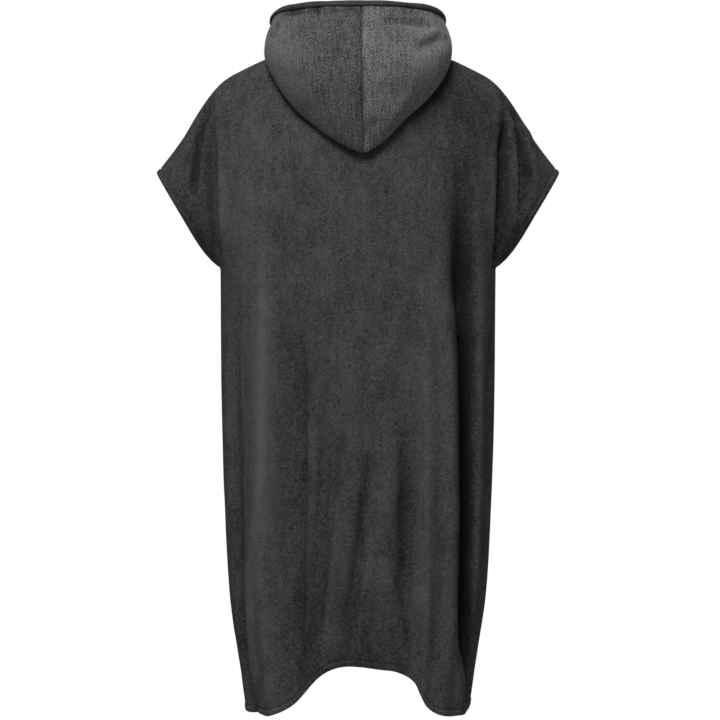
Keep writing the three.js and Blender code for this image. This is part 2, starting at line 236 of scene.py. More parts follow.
BACK = Panel(
    side=1,
    neck_depth=58,
    neck_drop=18,
    roll_out=3.0,
    reach=[(0, 140), (0.4, 146), (1, 152)],
    hem=[
        (-1, -1136),
        (-0.82, -1144),
        (-0.64, -1147),
        (-0.52, -1146),
        (-0.43, -1140),
        (-0.36, -1126),
        (-0.32, -1106),
        (-0.28, -1083),
        (-0.2, -1068),
        (-0.12, -1064),
        (0.07, -1058),
        (0.18, -1072),
        (0.33, -1122),
        (0.48, -1142),
        (0.62, -1143),
        (0.82, -1148),
        (1, -1145),
    ],
    folds=[
        Fold(-0.36, 0.22, -0.49, 1.02, 0.045, 9),
        Fold(-0.42, 0.8, -1, 1.25, 0.06, 8),
        Fold(-0.5, 0.2, -0.62, 0.96, 0.08, -66),
        Fold(-0.54, 0.78, -0.85, 1, 0.06, -50),
        Fold(-0.78, 0.3, -0.82, 0.98, 0.09, -12),
        Fold(0.44, 0.22, 0.47, 1.25, 0.06, 14),
        Fold(0.63, 0.3, 0.74, 1.2, 0.09, -19),
        Fold(0.27, 0.34, 0.29, 0.97, 0.06, -15),
        Fold(0.09, 0.5, 0.22, 0.98, 0.035, -12),
        Fold(-0.08, 0.6, 0.07, 0.96, 0.04, -9),
        Fold(-0.21, 0.56, -0.2, 0.9, 0.04, -8),
        Fold(-0.3, 0.25, -0.31, 1.25, 0.04, 9),
        Fold(-0.06, 0.84, -0.05, 1.3, 0.2, -20),
        Fold(0.5, 0.8, 0.5, 1.3, 0.14, 9),
        Fold(0.725, 0.06, 0.88, 0.335, 0.04, -13),
        Fold(-0.735, 0.06, -0.87, 0.335, 0.04, -26),
        Fold(0.77, 0.01, 0.9, 0.14, 0.03, -9),
        Fold(-0.8, 0.02, -0.96, 0.2, 0.03, -13),
    ],
    creases=[
        # long troughs and drag lines of the lower back
        Crease(97, -430, 97, -1095, 2, 9, -7.5),
        Crease(22, -620, 75, -1070, -5, 9, -8.0),
        Crease(-22, -690, 22, -1066, 0, 9, -7.0),
        Crease(-77, -600, -84, -1100, 0, 10, -6.5),
        Crease(6, -700, 20, -960, 3, 12, 2.5),
        Crease(-55, -700, -40, -1000, 3, 13, 2.5),
        # press marks
        Crease(-21, -663, -115, -664, 3, 5, -1.6),
        Crease(15, -872, -81, -874, 3, 5, -1.4),
        # left ridge, its double line and the fold edge below
        Crease(156, -330, 158, -900, 0, 15, 5.0),
        Crease(167, -285, 165, -800, 2, 7, 4.5),
        Crease(166, -720, 189, -930, 0, 8, 6.0),
        Crease(189, -880, 172, -1145, -3, 7, 6.5),
        Crease(203, -940, 188, -1140, 0, 7, -6.0),
        Crease(200, -862, 213, -950, 0, 6, -2.5),
        # right light ridge and the sharp edge beside the deep groove
        Crease(-114, -285, -118, -1120, 2, 5, 2.8),
        Crease(-161, -340, -172, -1080, 3, 6, 3.5),
        Crease(-180, -170, -176, -450, 0, 19, -9.0),
        Crease(-103, -940, -109, -1100, 0, 9, -7.0),
        # body edge, armhole and sleeve lines
        Crease(249, -66, 241, -366, 2, 5, 3.5),
        Crease(257, -74, 250, -360, 2, 8, -6.0),
        Crease(263, -82, 285, -250, -7, 5, -15.0),
        Crease(-250, -84, -239, -360, -3, 5, 3.5),
        Crease(-260, -88, -250, -356, -3, 10, -9.0),
        Crease(-272, -104, -250, -186, 0, 5, 8.0),
        Crease(-262, -108, -247, -170, 0, 5, -9.0),
        Crease(-275, -90, -294, -228, 5, 6, -18.0),
        Crease(-291, -175, -297, -276, 0, 6, -8.0),
        Crease(-291, -100, -311, -270, 7, 5, 4.0),
        Crease(-306, -146, -298, -176, 0, 4, -4.0),
        Crease(302, -268, 287, -300, 0, 4, -3.0),
    ],
    # Painted shade under the hood, beside the armhole, in the deep groove and troughs and along the hem;
    # painted light along the ridges
    nap=[
        Nap(-178, -92, 78, 78, -2.4),
        Nap(216, -45, 45, 45, -1.2),
        Nap(205, -250, 45, 70, 1.3),
        Nap(206, -570, 34, 260, 1.4),
        Nap(163, -640, 16, 170, 3.0),
        Nap(186, -930, 9, 110, 1.8),
        Nap(-184, -700, 14, 330, -4.6),
        Nap(-211, -700, 10, 300, 0.6),
        Nap(-288, -190, 42, 90, -0.9),
        Nap(-249, -190, 7, 90, -1.6),
        Nap(281, -170, 10, 70, -0.8),
        Nap(-140, -520, 26, 150, 1.0),
        Nap(20, -1062, 105, 50, -1.4),
        Nap(-100, -1000, 60, 130, 0.7),
        Nap(-75, -900, 22, 170, -1.0),
        Nap(85, -1030, 16, 80, -1.6),
    ],
)

FRONT = Panel(
    side=-1,
    neck_depth=78,
    neck_drop=88,
    roll_out=3.0,
    reach=[(0, 142), (0.35, 150), (1, 148)],
    hem=[
        (-1, -1136),
        (-0.75, -1145),
        (-0.5, -1128),
        (-0.28, -1078),
        (0, -1060),
        (0.26, -1077),
        (0.48, -1126),
        (0.74, -1145),
        (1, -1145),
    ],
    folds=[
        Fold(0.3, 0.3, 0.36, 1.25, 0.06, -17),
        Fold(0.5, 0.28, 0.5, 1.25, 0.07, 14),
        Fold(0.66, 0.4, 0.7, 1.25, 0.07, -26),
        Fold(0.02, 0.4, -0.05, 1.25, 0.06, -12),
        Fold(-0.26, 0.3, -0.34, 1.25, 0.06, -15),
        Fold(-0.46, 0.28, -0.5, 1.25, 0.07, 13),
        Fold(-0.64, 0.38, -0.7, 1.25, 0.07, -28),
        Fold(0.755, 0.06, 0.78, 0.34, 0.05, -22),
        Fold(-0.75, 0.06, -0.77, 0.34, 0.05, -22),
    ],
    creases=[
        Crease(118, -420, 128, -1090, 4, 9, -5.0),
        Crease(40, -560, 22, -1040, 3, 10, -4.0),
        Crease(-52, -620, -20, -1040, 4, 10, -5.0),
        Crease(-118, -430, -126, -1090, -4, 9, -4.5),
        Crease(74, -300, 96, -700, 5, 12, 2.5),
        Crease(-70, -320, -92, -760, -5, 12, 2.5),
        Crease(176, -330, 180, -1120, 3, 7, 4.0),
        Crease(-170, -330, -178, -1120, 3, 7, 4.0),
        Crease(252, -78, 246, -360, 2, 7, -5.0),
        Crease(-253, -80, -246, -360, -2, 7, -5.5),
        Crease(276, -98, 290, -230, -4, 8, -5.0),
        Crease(-282, -106, -292, -250, 3, 8, -5.5),
        Crease(60, -96, 128, -230, 8, 14, -4.0),
        Crease(-58, -98, -132, -240, -8, 14, -4.0),
    ],
    # Painted light along a ridge, painted shade along a trough and the hem
    nap=[
        Nap(150, -620, 20, 300, 1.2),
        Nap(-160, -700, 24, 300, -1.2),
        Nap(0, -1062, 110, 55, -1.6),
    ],
)

# Left half of the hood: angle round the neck from centre front to centre back, then the points
# of its under layer, fold, outer layer and face edge
HOOD_LINES = [
    (0, (0, -88, -46), (0, -93, -41), (0, -97, -36), (0, -98, -28)),
    (30, (56, -84, -29), (64, -94, -33), (71, -98, -19), (67, -96, -3)),
    (60, (97, -51, 9), (114, -57, -7), (126, -59, 13), (118, -62, 38)),
    (90, (124, 4, 26), (159, 14, 9), (160, 16, 31), (151, 4, 59)),
    (120, (111, 62, -6), (142, 80, -49), (153, 94, 5), (137, 62, 74)),
    (150, (70, 101, -36), (87, 127, -118), (96, 162, -32), (83, 113, 78)),
    (180, (0, 120, -56), (0, 148, -170), (0, 186, -48), (0, 130, 78)),
]

# Where the roll draws the cloth below it in
ROLL_PUCKERS = [
    Pucker(106, 21, 4.6),
    Pucker(69, 8, 2.8),
    Pucker(43, 6, 1.4),
    Pucker(12, 14, 2.2),
    Pucker(-38, 7, 0.9),
    Pucker(-86, 13, 2.2),
    Pucker(-137, 8, 1.2),
]

# The hood's two halves: left and right, by the side that they lie on
LEFT = 1
RIGHT = -1

# Painted light towards the hood's outer edges, painted shade nearer its middle
HOOD_PAINTED_PATCHES = {
    LEFT: [
        Nap(126, -20, 26, 60, 0.7),
        Nap(30, 20, 40, 60, -0.8),
    ],
    RIGHT: [
        Nap(-112, -30, 26, 62, 1.1),
        Nap(-60, 10, 40, 60, -0.6),
    ],
}

# Creases of the hood's outer layer
HOOD_CREASES = {
    LEFT: [
        Crease(0, 70, -4, -150, 0, 9, -6.5),
        Crease(-10, -134, -11, -178, 0, 4, -4.0),
        Crease(132, 62, 147, 22, 0, 5, -4.5),
        Crease(113, 76, 106, 34, 0, 4, -2.6),
        Crease(70, 74, 64, 32, 0, 6, -4.0),
        Crease(57, 76, 55, 36, 0, 7, 2.5),
        Crease(39, 74, 38, 44, 0, 5, -1.8),
        Crease(100, -8, 70, -100, 4, 20, 2.0),
        Crease(46, 10, 50, -110, 3, 22, -2.2),
    ],
    RIGHT: [
        Crease(-17, 66, -20, -128, 0, 9, 4.5),
        Crease(-10, -134, -11, -178, 0, 4, -4.0),
        Crease(-4, 10, -10, -8, 0, 4, -2.5),
        Crease(-34, 48, -130, 44, 5, 9, -8.5),
        Crease(-44, 26, -112, 22, 4, 11, 2.5),
        Crease(-98, -4, -150, 30, 0, 11, -6.5),
        Crease(-92, 12, -140, 40, 0, 7, 3.0),
        Crease(-128, 2, -139, -48, 0, 5, 3.5),
        Crease(-70, -20, -62, -112, 3, 20, -2.4),
        Crease(-30, -118, -14, -164, 0, 9, -3.5),
        Crease(-98, -60, -52, -128, 0, 7, 1.8),
    ],
}


def smooth_step(low, high, value):
    share = np.clip((value - low) / (high - low), 0, 1)
    return share * share * (3 - 2 * share)


def mix(start, end, share):
    return start + (end - start) * share


def read_table(table, key):
    """Smooth values between the rows of a table of keys and values."""
    keys = np.array([row[0] for row in table], dtype=float)
    values = np.array([row[1] for row in table], dtype=float)
    last = len(keys) - 1
    before = np.maximum(np.arange(last + 1) - 1, 0)
    after = np.minimum(np.arange(last + 1) + 1, last)
    slopes = (values[after] - values[before]) / (keys[after] - keys[before])
    row = np.clip(np.searchsorted(keys, key, side="left"), 1, last)
    span = keys[row] - keys[row - 1]
    s = (key - keys[row - 1]) / span
    rise = values[row] - values[row - 1]
    start_pull = slopes[row - 1] * span - rise
    end_pull = rise - slopes[row] * span
    return values[row - 1] + rise * s + s * (1 - s) * ((1 - s) * start_pull + s * end_pull)


def ring_point(u, half_width, reach):
    turn = u * math.pi / 2
    share = 1 / (1 - RING_SQUARENESS)
    x = half_width * share * (np.sin(turn) + RING_SQUARENESS * np.sin(3 * turn))
    y = reach * share * (np.cos(turn) - RING_SQUARENESS * np.cos(3 * turn))
    return x, y


def top_point(panel, u):
    x = SLEEVE_TIP_X * u
    in_neck = 1 - (x / NECK_X) ** 2
    shoulder_z = read_table(SHOULDER_LINE, np.abs(x))
    y = np.where(in_neck > 0, panel.neck_depth * np.sqrt(np.maximum(in_neck, 0)), 0)
    z = np.where(in_neck > 0, NECK_SIDE_Z - panel.neck_drop * in_neck, shoulder_z)
    return x, y, z


def fold_depth(panel, u, v):
    depth = np.zeros(np.broadcast(u, v).shape)
    for fold in panel.folds:
        along = (v - fold.v0) / (fold.v1 - fold.v0)
        across = (u - fold.u0 - (fold.u1 - fold.u0) * along) / fold.width
        fade = smooth_step(0, FOLD_FADE_IN, along) * (1 - smooth_step(FOLD_FADE_OUT, 1, along))
        depth = depth + fold.depth * fade * np.exp(-across * across)
    return depth


def panel_surface(panel, u, v):
    """Middle surface of a panel, as rows of points: u across, v from the shoulder to the hem."""
    u, v = np.meshgrid(u, v)
    in_yoke = np.minimum(v / YOKE_SHARE, 1)
    w = np.maximum((v - YOKE_SHARE) / (1 - YOKE_SHARE), 0)
    ring_x, ring_y = ring_point(u, read_table(BODY_WIDTH, w), read_table(panel.reach, w))
    top_x, top_y, top_z = top_point(panel, u)
    sleeve = smooth_step(SLEEVE_COLUMN, 1, np.abs(u))
    cuff = CUFF_STRAIGHTNESS * in_yoke + (1 - CUFF_STRAIGHTNESS) * in_yoke**CUFF_CURL
    to_ring = mix(smooth_step(0, 1, in_yoke), cuff, sleeve)
    outward = 1 - (1 - in_yoke) ** panel.roll_out
    downward = mix(in_yoke**DROP_START, in_yoke, sleeve)
    bulge = CUFF_BULGE * sleeve * np.sqrt(in_yoke) * (1 - in_yoke) / CUFF_PEAK
    hem_z = read_table(panel.hem, u)
    z = np.where(v < YOKE_SHARE, mix(top_z, UNDERARM_Z, downward), mix(UNDERARM_Z, hem_z, w))
    fold = fold_depth(panel, u, v) * (1 - smooth_step(SEAM_STRIP, 1, np.abs(u)))
    turn = u * math.pi / 2
    fold_x = FOLD_SIDEWAYS * np.sin(turn)
    fold_y = np.cos(turn)
    length = np.hypot(fold_x, fold_y)
    x = mix(top_x, ring_x, to_ring) + fold * fold_x / length
    y = mix(top_y, ring_y, outward) + bulge + fold * fold_y / length
    return np.stack([x, panel.side * (y - SEAM_OVERLAP / 2), z], axis=-1)


def neck_point(angle):
    turn = math.radians(angle)
    panel = BACK if angle > 90 else FRONT
    x = (NECK_X + PANEL_CLOTH / 2) * math.sin(turn)
    y = -(panel.neck_depth + PANEL_CLOTH / 2) * math.cos(turn)
    return x, y, NECK_SIDE_Z - panel.neck_drop * math.cos(turn) ** 2 + HOOD_LIFT


def hood_guides():
    guides = []
    for angle, *points in HOOD_LINES:
        x, y, z = neck_point(angle)
        stand = (x * STAND_SPREAD[0], y * STAND_SPREAD[1], z + STAND_HEIGHT)
        guides.append([(x, y, z), stand, *points])
    return np.array(guides, dtype=float)


def through_points(points, at):
    """Catmull-Rom values along the first axis of points, whose first and last rows lie outside."""
    count = len(points) - 3
    index = np.clip(np.floor(at * count).astype(int), 0, count - 1)
    s = (at * count - index).reshape((-1,) + (1,) * (points.ndim - 1))
    a, b, c, d = (points[index + step] for step in range(4))
    rise = c - b
    pull = (1 - s) * ((c - a) / 2 - rise) + s * (rise - (d - b) / 2)
    return b + rise * s + s * (1 - s) * pull


def hood_surface(a, t):
    """Middle surface of the left hood half: a from centre front to centre back, t from neck to edge."""
    guides = hood_guides()
    mirror = np.array([-1.0, 1.0, 1.0])
    lines = np.concatenate([guides[1:2] * mirror, guides, guides[-2:-1] * mirror])
    across = through_points(lines, a).transpose(1, 0, 2)
    padded = np.concatenate([across[:1], across, across[-1:]])
    return through_points(padded, t)


def grid_normals(points, side):
    along_rows = np.gradient(points, axis=1)
    along_columns = np.gradient(points, axis=0)
    normals = np.cross(along_rows, along_columns) * side
    return normals / np.maximum(np.linalg.norm(normals, axis=-1, keepdims=True), 1e-9)


def moved_out(points, side, depth):
    """Points moved along their normals by a depth, with the normals of the new surface."""
    points = points + grid_normals(points, side) * depth[..., None]
    return points, grid_normals(points, side)


def bell(offset, reach):
    return np.exp(-((offset / reach) ** 2))


def crease_depth(creases, x, z):
    """Depth of short listed creases, measured square to each on the view from behind."""
    depth = np.zeros(x.shape)
    for crease in creases:
        run_x, run_z = crease.x1 - crease.x0, crease.z1 - crease.z0
        length = math.hypot(run_x, run_z)
        along = ((x - crease.x0) * run_x + (z - crease.z0) * run_z) / length**2
        off = ((x - crease.x0) * run_z - (z - crease.z0) * run_x) / length
        inside = np.clip(along, 0, 1)
        off = off - crease.bend * 4 * inside * (1 - inside)
        fade = smooth_step(*CREASE_FADE_IN, along) * (1 - smooth_step(*CREASE_FADE_OUT, along))
        depth = depth + crease.depth * fade * bell(off, crease.width)
    return depth


def painted_light_and_shade(patches, x, z):
    """Painted light and shade, in soft patches seen from behind."""
    lie = np.zeros(x.shape)
    for patch in patches:
        lie = lie + patch.lightness * bell(x - patch.x, patch.reach_x) * bell(z - patch.z, patch.reach_z)
    return lie


def soft_unevenness(points, seed, depth):
    """Gentle rise and fall of soft cloth, from seeded waves."""
    draw = random.Random(seed)
    total = np.zeros(points.shape[:2])
    for _ in range(SOFT_WAVES):
        heading = draw.uniform(0, math.pi)
        wave = draw.uniform(SHORTEST_WAVE, LONGEST_WAVE)
        phase = draw.uniform(0, 2 * math.pi)
        across = points[..., 0] * math.cos(heading) + points[..., 2] * math.sin(heading)
        turn = 2 * math.pi * across / wave + phase + points[..., 1] / SHORTEST_WAVE
        total += np.sin(turn) * wave / LONGEST_WAVE
    return depth * total / math.sqrt(SOFT_WAVES)


def edge_distances(points):
    """Distance of each point from the first and last row, and from the first and last column."""
    down = np.linalg.norm(np.diff(points, axis=0), axis=-1)
    over = np.linalg.norm(np.diff(points, axis=1), axis=-1)
    from_top = np.concatenate([np.zeros((1, points.shape[1])), np.cumsum(down, axis=0)])
    from_left = np.concatenate([np.zeros((points.shape[0], 1)), np.cumsum(over, axis=1)], axis=1)
    return from_top, from_top[-1:] - from_top, from_left, from_left[:, -1:] - from_left


def rounded(distance):
    """Share of full thickness at a distance from a rounded edge."""
    inside = np.clip(distance / EDGE_ROUND, 0, 1)
    return np.maximum(np.sqrt(1 - (1 - inside) ** 2), EDGE_LEAST)


def hem_profile(distance):
    """What a turned hem adds to the outside: its extra layer, less the valley of the stitch row."""
    layer = HEM_EXTRA * (1 - smooth_step(*HEM_STEP, distance))
    valley = STITCH_SUNK * bell(distance - HEM_DEPTH, STITCH_VALLEY)
    return layer - valley


def add_mesh(name, points, faces):
    """A smooth-shaded object at the origin from points in millimetres."""
    mesh = bpy.data.meshes.new(name)
    mesh.from_pydata((points * MM).tolist(), [], faces)
    mesh.polygons.foreach_set("use_smooth", [True] * len(mesh.polygons))
    mesh.update()
    piece = bpy.data.objects.new(name, mesh)
    bpy.context.scene.collection.objects.link(piece)
    return piece


def closed_sheet(name, outside, inside, uv_u, uv_v, painted_shading, outward_first):
    """A closed mesh from two grids of points, joined round all four edges, with UVs and the painted light
    and shade of its pile.
    """
    rows, columns = outside.shape[:2]
    layer = rows * columns
    index = np.arange(layer).reshape(rows, columns)
    top = np.stack([index[:-1, :-1], index[:-1, 1:], index[1:, 1:], index[1:, :-1]], -1).reshape(-1, 4)
    faces = [top, top[:, ::-1] + layer]
    loop = np.concatenate([index[0, :], index[1:, -1], index[-1, -2::-1], index[-2:0:-1, 0]])
    following = np.roll(loop, -1)
    faces.append(np.stack([following, loop, loop + layer, following + layer], -1))
    faces = np.concatenate(faces)
    if not outward_first:
        faces = faces[:, ::-1]
    points = np.concatenate([outside.reshape(-1, 3), inside.reshape(-1, 3)])
    piece = add_mesh(name, points, faces.tolist())
    mesh = piece.data
    uv = np.stack([uv_u, uv_v], -1).reshape(-1, 2) * MM
    uv = np.concatenate([uv, uv])
    layer_uv = mesh.uv_layers.new(name="cloth")
    corner = np.empty(len(mesh.loops), dtype=np.int32)
    mesh.loops.foreach_get("vertex_index", corner)
    layer_uv.data.foreach_set("uv", uv[corner].astype(np.float32).ravel())
    # This attribute holds the painted light and shade of the pile
    height = mesh.attributes.new("painted_shading", "FLOAT", "POINT")
    height.data.foreach_set("value", np.concatenate([painted_shading, painted_shading]).ravel().astype(np.float32))
    return piece


def stitch_row(name, path, normals):
    """A row of short thread stitches lying along a path of points, as one joined mesh."""
    steps = np.linalg.norm(np.diff(path, axis=0), axis=1)
    run = np.concatenate([[0], np.cumsum(steps)])
    starts = np.arange(STITCH_PITCH, run[-1] - STITCH_PITCH, STITCH_PITCH)
    vertices, faces = [], []

    def at(distance):
        place = [np.interp(distance, run, path[:, axis]) for axis in range(3)]
        normal = np.array([np.interp(distance, run, normals[:, axis]) for axis in range(3)])
        return np.array(place), normal / np.linalg.norm(normal)

    for start in starts:
        first = len(vertices)
        head, _ = at(start)
        tail, _ = at(start + STITCH_LENGTH)
        along = (tail - head) / np.linalg.norm(tail - head)
        for share, size in STITCH_RINGS:
            place, normal = at(start + STITCH_LENGTH * share)
            vertices.extend(stitch_ring(place, normal, along, share, size))
        faces.extend(tube_faces(first, len(STITCH_RINGS), STITCH_SIDES))
    return add_mesh(name, np.array(vertices), faces)


def stitch_ring(place, normal, along, share, size):
    """One ring of a stitch, which rises out of the cloth and dips in again at its ends."""
    across = np.cross(along, normal)
    lift = STITCH_RADIUS * (STITCH_RISE[0] - STITCH_RISE[1] * (2 * share - 1) ** 2)
    ring = []
    for side in range(STITCH_SIDES):
        turn = 2 * math.pi * side / STITCH_SIDES
        off = across * math.cos(turn) + normal * math.sin(turn)
        ring.append(place + normal * lift + off * STITCH_RADIUS * size)
    return ring


def tube_faces(first, rings, sides):
    """Faces of a closed tube whose rings of points follow each other, from the first point on."""
    faces = []
    for ring in range(rings - 1):
        here = first + ring * sides
        there = here + sides
        for side in range(sides):
            after = (side + 1) % sides
            faces.append((here + side, there + side, there + after, here + after))
    last = first + (rings - 1) * sides
    faces.append(tuple(first + side for side in range(sides)))
    faces.append(tuple(last + side for side in reversed(range(sides))))
    return faces


def column_places(spacing):
    """Columns from cuff to cuff, closer together in the turned hems of the cuffs."""
    close = np.linspace(0, CUFF_SHARE, CUFF_COLUMNS + 1)[:-1]
    middle = np.linspace(-1 + CUFF_SHARE, 1 - CUFF_SHARE, int(PANEL_WIDTH / spacing))
    return np.concatenate([-1 + close, middle, (1 - close)[::-1]])


def row_places(spacing):
    """Rows from shoulder to hem, closer together at the shoulder seam and in the turned hem."""
    top = np.array(TOP_ROWS) / PANEL_LENGTH
    hem = np.array(HEM_ROWS) / PANEL_LENGTH
    start = ROWS_START / PANEL_LENGTH
    end = 1 - ROWS_END / PANEL_LENGTH
    middle = np.linspace(start, end, int(PANEL_LENGTH / spacing))
    return np.concatenate([top, middle, 1 - hem])


def places_between(close, start, count):
    """Places from 0 to 1, evenly spread from start on, with closer ones at both ends."""
    close = np.array(close)
    return np.concatenate([close, np.linspace(start, 1 - start, count), 1 - close[::-1]])


def make_panel(name, panel, spacing, seed):
    """A panel of the body with its turned hems, and the stitch rows on them."""
    u = column_places(spacing)
    v = row_places(spacing)
    middle = panel_surface(panel, u, v)
    depth = crease_depth(panel.creases, middle[..., 0], middle[..., 2])
    depth = depth + soft_unevenness(middle, seed, PANEL_SOFTNESS)
    from_top, from_hem, from_right, from_left = edge_distances(middle)
    from_side = np.minimum(from_right, from_left)
    depth = depth * smooth_step(0, CREASE_FROM_SIDE, from_side) * smooth_step(0, CREASE_FROM_TOP, from_top)
    middle, normals = moved_out(middle, panel.side, depth)
    in_cuff = (v < YOKE_SHARE)[:, None]
    hems = hem_profile(from_hem) + np.where(in_cuff, hem_profile(from_side), 0)
    half = PANEL_CLOTH / 2 * rounded(np.minimum(np.minimum(from_top, from_hem), from_side))
    added = hems * rounded(np.minimum(from_hem, from_side))
    outside = middle + normals * (half + added)[..., None]
    inside = middle - normals * half[..., None]
    folds = fold_depth(panel, *np.meshgrid(u, v))
    painted_shading = panel_painted_shading(panel, middle, folds, depth, from_side)
    across = u * UV_HALF_WIDTH + 0 * from_top
    piece = closed_sheet(name, outside, inside, across, from_top, painted_shading, panel.side > 0)
    cuff_rows = np.arange(CUFF_ROWS_LEFT_OUT[0], np.count_nonzero(in_cuff) - CUFF_ROWS_LEFT_OUT[1])
    stitches = [hem_stitches(name, outside, normals, from_hem)]
    for side_name, distances in (("right", from_right), ("left", from_left)):
        cuff = outside[cuff_rows], normals[cuff_rows], distances[cuff_rows]
        stitches.append(cuff_stitches(f"{name}_{side_name}", *cuff))
    return piece, stitches


def panel_painted_shading(panel, middle, folds, depth, from_side):
    """Painted light and shade of the pile: lighter on crests and darker in troughs of folds and creases, in
    painted patches, and painted shade on the sleeves.
    """
    x = middle[..., 0]
    z = middle[..., 2]
    on_folds = np.clip(folds / FOLD_SHADE_STEP, *FOLD_SHADE_LIMITS)
    on_creases = np.clip(depth / CREASE_SHADE_STEP, *CREASE_SHADE_LIMITS)
    painted_shading = (on_folds + on_creases) * smooth_step(0, PAINTED_SHADE_FROM_SIDE, from_side)
    return painted_shading + painted_light_and_shade(panel.nap, x, z) - SLEEVE_PAINTED_SHADE * smooth_step(*SLEEVE_PAINTED_SHADE_X, np.abs(x))


def hem_stitches(name, outside, normals, from_hem):
    rows = np.argmin(np.abs(from_hem - HEM_DEPTH), axis=0)
    columns = np.arange(outside.shape[1])
    return stitch_row(f"{name}_hem_stitches", outside[rows, columns], normals[rows, columns])


def cuff_stitches(name, outside, normals, distances):
    columns = np.argmin(np.abs(distances - HEM_DEPTH), axis=1)
    weights = refine(distances, columns, HEM_DEPTH)
    path = blend_columns(outside, columns, weights)
    facing = blend_columns(normals, columns, weights)
    return stitch_row(f"{name}_cuff_stitches", path, facing)


def refine(distances, columns, target):
    """Where between the nearest column and its neighbour a distance is met."""
    rows = np.arange(len(columns))
    here = distances[rows, columns]
    neighbour = np.where(here > target, columns - 1, columns + 1)
    flipped = distances[rows, np.clip(columns + 1, 0, distances.shape[1] - 1)] < here
    neighbour = np.where(flipped, 2 * columns - neighbour, neighbour)
    neighbour = np.clip(neighbour, 0, distances.shape[1] - 1)
    there = distances[rows, neighbour]
    share = np.clip((target - here) / np.where(there == here, 1, there - here), 0, 1)
    return neighbour, share


def blend_columns(grid, columns, weights):
    neighbour, share = weights
    rows = np.arange(len(columns))
    return mix(grid[rows, columns], grid[rows, neighbour], share[:, None])


def lean_seam(points, t):
    """The centre seam and the tip lean to one side, and the fold beside them is drawn in."""
    x = points[..., 0]
    at_edge = mix(1, SEAM_LEAN_AT_EDGE, smooth_step(SEAM_LEAN_ROWS[1], 1, t))
    lean = smooth_step(*SEAM_LEAN_ROWS, t) * at_edge
    drawn = smooth_step(*SIDE_DRAW_IN, t) * (1 - smooth_step(*SIDE_DRAW_OUT, t))
    leaning = SEAM_LEAN * bell(x, SEAM_LEAN_REACH) * lean[:, None]
    drawing = SIDE_DRAW * bell(x - SIDE_DRAW_X, SIDE_DRAW_REACH) * drawn[:, None]
    hanging = TIP_DROP * np.exp(-np.abs(x) / TIP_REACH) * bell(t - TIP_ROW, TIP_ROWS_REACH)[:, None]
    points[..., 2] -= hanging
    points[..., 0] += leaning + drawing
    return points


def make_hood_half(name, side, seed):
    """One half of the hood, and the path, rise and facing of its face edge."""
    a = places_between(HOOD_CLOSE_COLUMNS, HOOD_COLUMN_START, HOOD_COLUMNS)
    t = places_between(HOOD_CLOSE_ROWS, HOOD_ROW_START, HOOD_ROWS)
    middle = hood_surface(a, t)
    middle[..., 0] = side * (middle[..., 0] - SEAM_OVERLAP / 2)
    middle = lean_seam(middle, t)
    x = middle[..., 0]
    from_neck, from_edge, from_front, from_back = edge_distances(middle)
    outer = smooth_step(*OUTER_ROWS, t)[:, None] * smooth_step(*OUTER_COLUMNS, a)[None, :]
    depth = crease_depth(HOOD_CREASES[side], x, middle[..., 2]) * outer
    depth = depth + soft_unevenness(middle, seed, HOOD_SOFTNESS) * smooth_step(0, 0.3, t)[:, None]
    below_roll = bell(from_edge - PULL_PLACE, PULL_REACH) * smooth_step(*PULL_COLUMNS, a)[None, :]
    pull = roll_pull(x) * below_roll
    seam = bell(from_back, SEAM_VALLEY)
    depth = depth * smooth_step(-14, 10, from_edge) - pull
    depth = depth - SEAM_SUNK * seam * smooth_step(0, 6, from_edge)
    depth = depth * smooth_step(0, 12, from_front)
    middle, normals = moved_out(middle, side, depth)
    from_side = np.minimum(from_front, from_back)
    half = HOOD_CLOTH / 2 * rounded(np.minimum(np.minimum(from_neck, from_edge), from_side))
    outside = middle + normals * half[..., None]
    inside = middle - normals * half[..., None]
    # Painted shade in creases, under the roll and in the seam valley, and painted light on crests
    painted_shading = np.clip(depth / CREASE_SHADE_STEP, *HOOD_SHADE_LIMITS) - PULL_PAINTED_SHADE * pull - SEAM_PAINTED_SHADE * seam
    # Patches of painted light and shade on the hood
    painted_shading = painted_shading + painted_light_and_shade(HOOD_PAINTED_PATCHES[side], middle[..., 0], middle[..., 2])
    piece = closed_sheet(name, outside, inside, side * from_back, from_neck, painted_shading, side > 0)
    rise = middle[-1] - middle[-5]
    return piece, (middle[-1], rise / np.linalg.norm(rise, axis=1, keepdims=True), normals[-1])


def roll_pull(x):
    """How deep the roll draws the cloth below it in, most at its puckers."""
    pull = PULL_EVERYWHERE
    for pucker in ROLL_PUCKERS:
        pull = pull + pucker.depth * bell(x - pucker.x, pucker.reach)
    return pull


def roll_frames(left_rim, right_rim):
    """Even steps along the whole face edge: distance, point, and the upward and outward directions."""
    joined = []
    for left, right in zip(left_rim, right_rim):
        joined.append(np.concatenate([left[:-1], (left[-1:] + right[-1:]) / 2, right[-2::-1]]))
    run = np.concatenate([[0], np.cumsum(np.linalg.norm(np.diff(joined[0], axis=0), axis=1))])
    place = np.linspace(0, run[-1], ROLL_STEPS + 1)
    edge, up, across = (
        np.stack([np.interp(place, run, grid[:, axis]) for axis in range(3)], axis=1) for grid in joined
    )
    along = np.gradient(edge, axis=0)
    along /= np.linalg.norm(along, axis=1, keepdims=True)
    up -= along * np.sum(up * along, axis=1, keepdims=True)
    up /= np.linalg.norm(up, axis=1, keepdims=True)
    out = np.cross(up, along)
    out *= np.sign(np.sum(out * across, axis=1, keepdims=True))
    return place, edge, up, out


